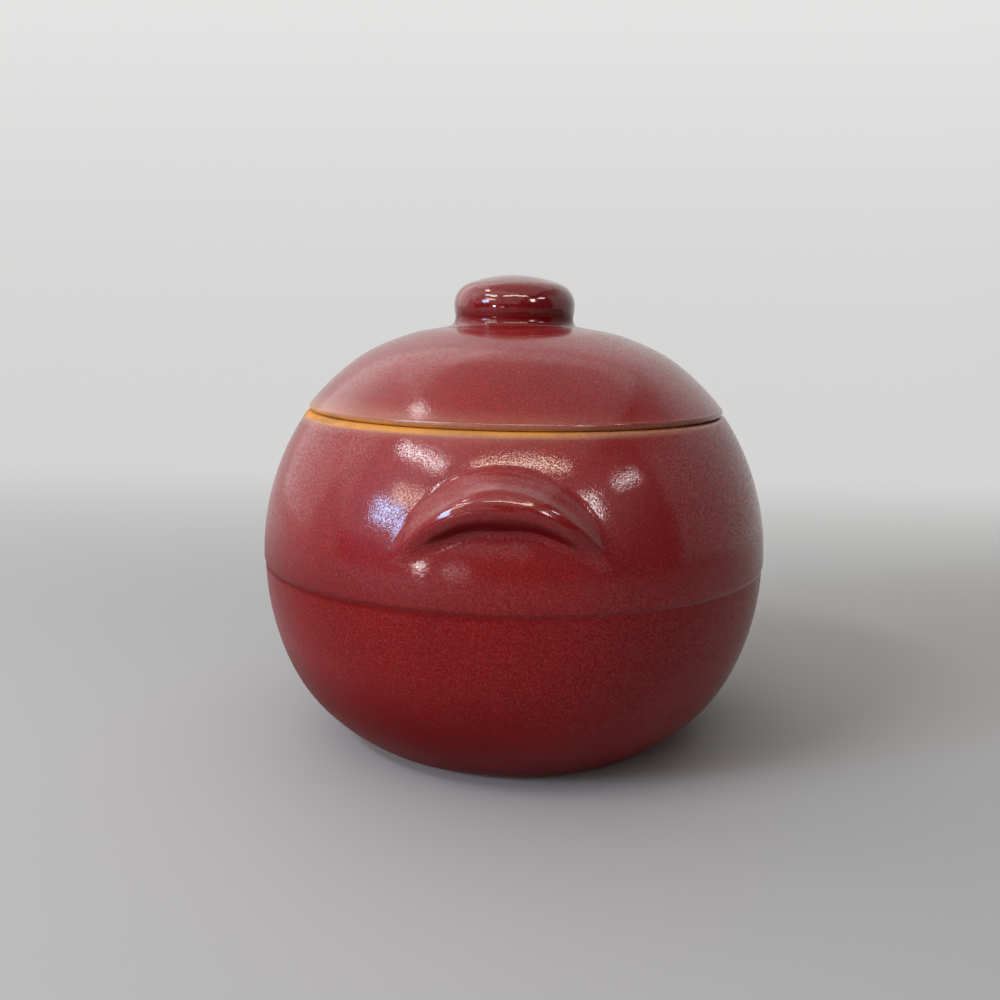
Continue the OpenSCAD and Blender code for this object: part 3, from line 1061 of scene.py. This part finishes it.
# Small lamps that only make highlights, in the same order
GLINTS = (
    ("left_top", -85, 57.5, 0.17, 0.11, 0.7, (1.0, 0.97, 0.98)),
    ("top_strip", 5.5, 47, 0.88, 0.095, 5.0, (1.0, 0.84, 0.68)),
    ("right_high", 60, 33, 0.24, 0.07, 1.0, (0.97, 0.96, 1.0)),
    ("right_low", 38, 25.5, 0.17, 0.25, 2.8, (1.0, 0.95, 0.95)),
    ("low_left", -36.5, 1, 0.085, 0.055, 0.8, (1.0, 0.96, 0.95)),
    ("low_front", -21, 0, 0.24, 0.05, 0.25, (1.0, 0.96, 0.95)),
)
LAMP_DISTANCE = 1.25
LAMP_AIM = Vector((0, 0, 0.08))
SENSOR_WIDTH = 36
# Heights between which the backdrop takes its high colour and then dims, and places between which it dims to
# the right and the floor runs into it
BACKDROP_RISE = (0.0, 1.1)
BACKDROP_TOP = (1.0, 1.7)
BACKDROP_RIGHT = (0.4, 1.7)
FLOOR_END = (0.08, 0.6)


def backdrop_shade(tree, look):
    """The backdrop's own colour, dimmer to the right and high up, its light, and the rays that see it."""
    place = split(tree, add_node(tree, "ShaderNodeTexCoord").outputs["Object"])
    up = fade(tree, place["Z"], *BACKDROP_RISE)
    shade = mix_colour(tree, up, rgba(look.low_backdrop), rgba(look.high_backdrop))
    high = fade(tree, place["Z"], *BACKDROP_TOP, to_low=1.0, to_high=0.5)
    right = fade(tree, place["X"], *BACKDROP_RIGHT, to_low=1.0, to_high=0.8)
    shade = mix_colour(tree, times(tree, high, right), rgba((0, 0, 0)), shade)
    path = add_node(tree, "ShaderNodeLightPath").outputs
    seen = calculate(tree, "MAXIMUM", path["Is Camera Ray"], path["Is Glossy Ray"])
    seen = calculate(tree, "MAXIMUM", seen, path["Is Transmission Ray"])
    shown = add_node(tree, "ShaderNodeEmission", {"Color": shade, "Strength": 1.0}).outputs[0]
    return place, shade, shown, seen


def floor_material(look):
    """A plain matt floor, paler where it is seen than where it lights the jar, that runs into the
    backdrop behind the object. From below, it is clear.
    """
    material, tree = empty_material("pale_floor")
    place, _, shown, seen = backdrop_shade(tree, look)
    shade = mix_colour(tree, seen, rgba(look.floor), rgba(look.seen_floor))
    matt = add_node(tree, "ShaderNodeBsdfPrincipled", {"Base Color": shade, "Roughness": 0.7}).outputs[0]
    far = times(tree, fade(tree, place["Y"], *FLOOR_END), seen)
    clear = add_node(tree, "ShaderNodeBsdfTransparent").outputs[0]
    behind = add_node(tree, "ShaderNodeNewGeometry").outputs["Backfacing"]
    show(tree, mix_shader(tree, behind, mix_shader(tree, far, matt, shown), clear))
    return material


def backdrop_material(look):
    """A pale backdrop that shows its own light to the camera and in reflections, and casts little of it."""
    material, tree = empty_material("pale_backdrop")
    _, shade, shown, seen = backdrop_shade(tree, look)
    dim = mix_colour(tree, 0.35, rgba((0, 0, 0)), shade)
    matt = add_node(tree, "ShaderNodeBsdfDiffuse", {"Color": dim}).outputs[0]
    show(tree, mix_shader(tree, seen, matt, shown))
    return material


def backdrop_mesh(half_width, front, back, round_r, low, high, material):
    """An upright wall that runs across the back and, round two wide corners, forward on both sides."""
    turn = np.radians(np.linspace(0, 90, 25))
    corner_x, corner_y = half_width - round_r, back - round_r
    right = np.column_stack((corner_x + round_r * np.cos(turn), corner_y + round_r * np.sin(turn)))
    right = np.concatenate(([(half_width, front)], right))
    path = np.concatenate((right, right[::-1] * (-1, 1)))
    count = len(path)
    points = [(x, y, z) for z in (low, high) for x, y in path]
    mesh = bpy.data.meshes.new("backdrop")
    mesh.from_pydata(points, [], [(i + 1, i, i + count, i + count + 1) for i in range(count - 1)])
    mesh.polygons.foreach_set("use_smooth", np.ones(count - 1, bool))
    mesh.materials.append(material)
    return mesh


class SetStage(bpy.types.Operator):
    """Sets up the floor, the wall behind, the soft light and the camera"""

    bl_idname = "grease_jar.set_stage"
    bl_label = "Stage, light and camera"

    def execute(self, context):
        look = context.scene.grease_jar.stage
        self.lay_floor(look)
        self.hang_lights(context, look)
        self.place_camera(context, look)
        context.scene.view_settings.view_transform = "Standard"
        return {"FINISHED"}

    def lay_floor(self, look):
        """Makes the floor and the backdrop."""
        wide, low = 4.0, -0.1 * MM
        floor = bpy.data.meshes.new("floor")
        corners = ((-wide, -wide), (wide, -wide), (wide, wide), (-wide, wide))
        floor.from_pydata([(x, y, low) for x, y in corners], [], [(0, 1, 2, 3)])
        floor.materials.append(floor_material(look))
        wall = backdrop_mesh(
            half_width=1.7, front=-0.35, back=0.95, round_r=0.7, low=low, high=2.2,
            material=backdrop_material(look),
        )
        link("floor", floor)
        link("backdrop", wall)

    def hang_lights(self, context, look):
        """Makes the light from all round and the lamps."""
        world = bpy.data.worlds.new("studio")
        world.use_nodes = True
        world.node_tree.nodes["Background"].inputs["Color"].default_value = rgba(look.ambient)
        context.scene.world = world
        glints = [glint[0] for glint in GLINTS]
        for name, compass, height, wide, tall, power, rgb in SOFT_BOXES + GLINTS:
            lamp = bpy.data.lights.new(name, "AREA")
            lamp.shape, lamp.size, lamp.size_y = "RECTANGLE", wide, tall
            lamp.energy, lamp.color = power, rgb
            box = link(name, lamp)
            turn, lift = math.radians(compass), math.radians(height)
            flat = math.cos(lift)
            way = Vector((math.sin(turn) * flat, -math.cos(turn) * flat, math.sin(lift)))
            box.location = LAMP_AIM + way * LAMP_DISTANCE
            box.rotation_euler = way.to_track_quat("Z", "Y").to_euler()
            box.visible_camera = False
            box.visible_diffuse = name not in glints

    def place_camera(self, context, look):
        """Makes the camera and stands it in front of the jar."""
        data = bpy.data.cameras.new("camera")
        data.lens, data.sensor_width, data.sensor_fit = look.lens, SENSOR_WIDTH, "HORIZONTAL"
        data.clip_start, data.clip_end = 0.01, 20
        camera = link("camera", data)
        yaw, pitch = look.camera_yaw, look.camera_pitch
        ahead = Vector((math.sin(yaw) * math.cos(pitch), math.cos(yaw) * math.cos(pitch), -math.sin(pitch)))
        right = Vector((math.cos(yaw), -math.sin(yaw), 0))
        up = right.cross(ahead)
        level = Matrix((right, up, -ahead)).transposed().to_4x4()
        stand = Matrix.Translation((0, -look.camera_distance, look.camera_height))
        turn = Matrix.Rotation(look.camera_turn, 4, "Z")
        camera.matrix_world = turn @ stand @ level @ Matrix.Rotation(look.camera_roll, 4, "Z")
        context.scene.camera = camera


class GreaseJarPanel(bpy.types.Panel):
    """Lists the jar's pieces, its sizes and its colours"""

    bl_idname = "VIEW3D_PT_grease_jar"
    bl_label = "Grease jar"
    bl_space_type = "VIEW_3D"
    bl_region_type = "UI"
    bl_category = "Grease Jar"

    def draw(self, context):
        jar = context.scene.grease_jar
        for operator in OPERATORS:
            self.layout.operator(operator.bl_idname)
        for group in (jar.body, jar.lid, jar.knob, jar.lug, jar.glaze, jar.stage):
            box = self.layout.box()
            for name in group.__annotations__:
                box.prop(group, name)


OPERATORS = (MakeLowerBowl, MakeUpperShoulder, MakeLugs, MakeLidDome, MakeLidKnob, SetStage)
GROUPS = (BodySizes, LidSizes, KnobSizes, LugSizes, GlazeLook, StageLook, GreaseJarSettings)
CLASSES = (*GROUPS, *OPERATORS, GreaseJarPanel)


def register():
    """Adds the classes and the settings to Blender."""
    for cls in CLASSES:
        bpy.utils.register_class(cls)
    bpy.types.Scene.grease_jar = PointerProperty(type=GreaseJarSettings)


def unregister():
    """Takes the settings and the classes out again."""
    del bpy.types.Scene.grease_jar
    for cls in reversed(CLASSES):
        bpy.utils.unregister_class(cls)


def main():
    """Builds everything."""
    register()
    for operator in OPERATORS:
        getattr(bpy.ops.grease_jar, operator.bl_idname.split(".")[1])()


if __name__ == "__main__":
    main()
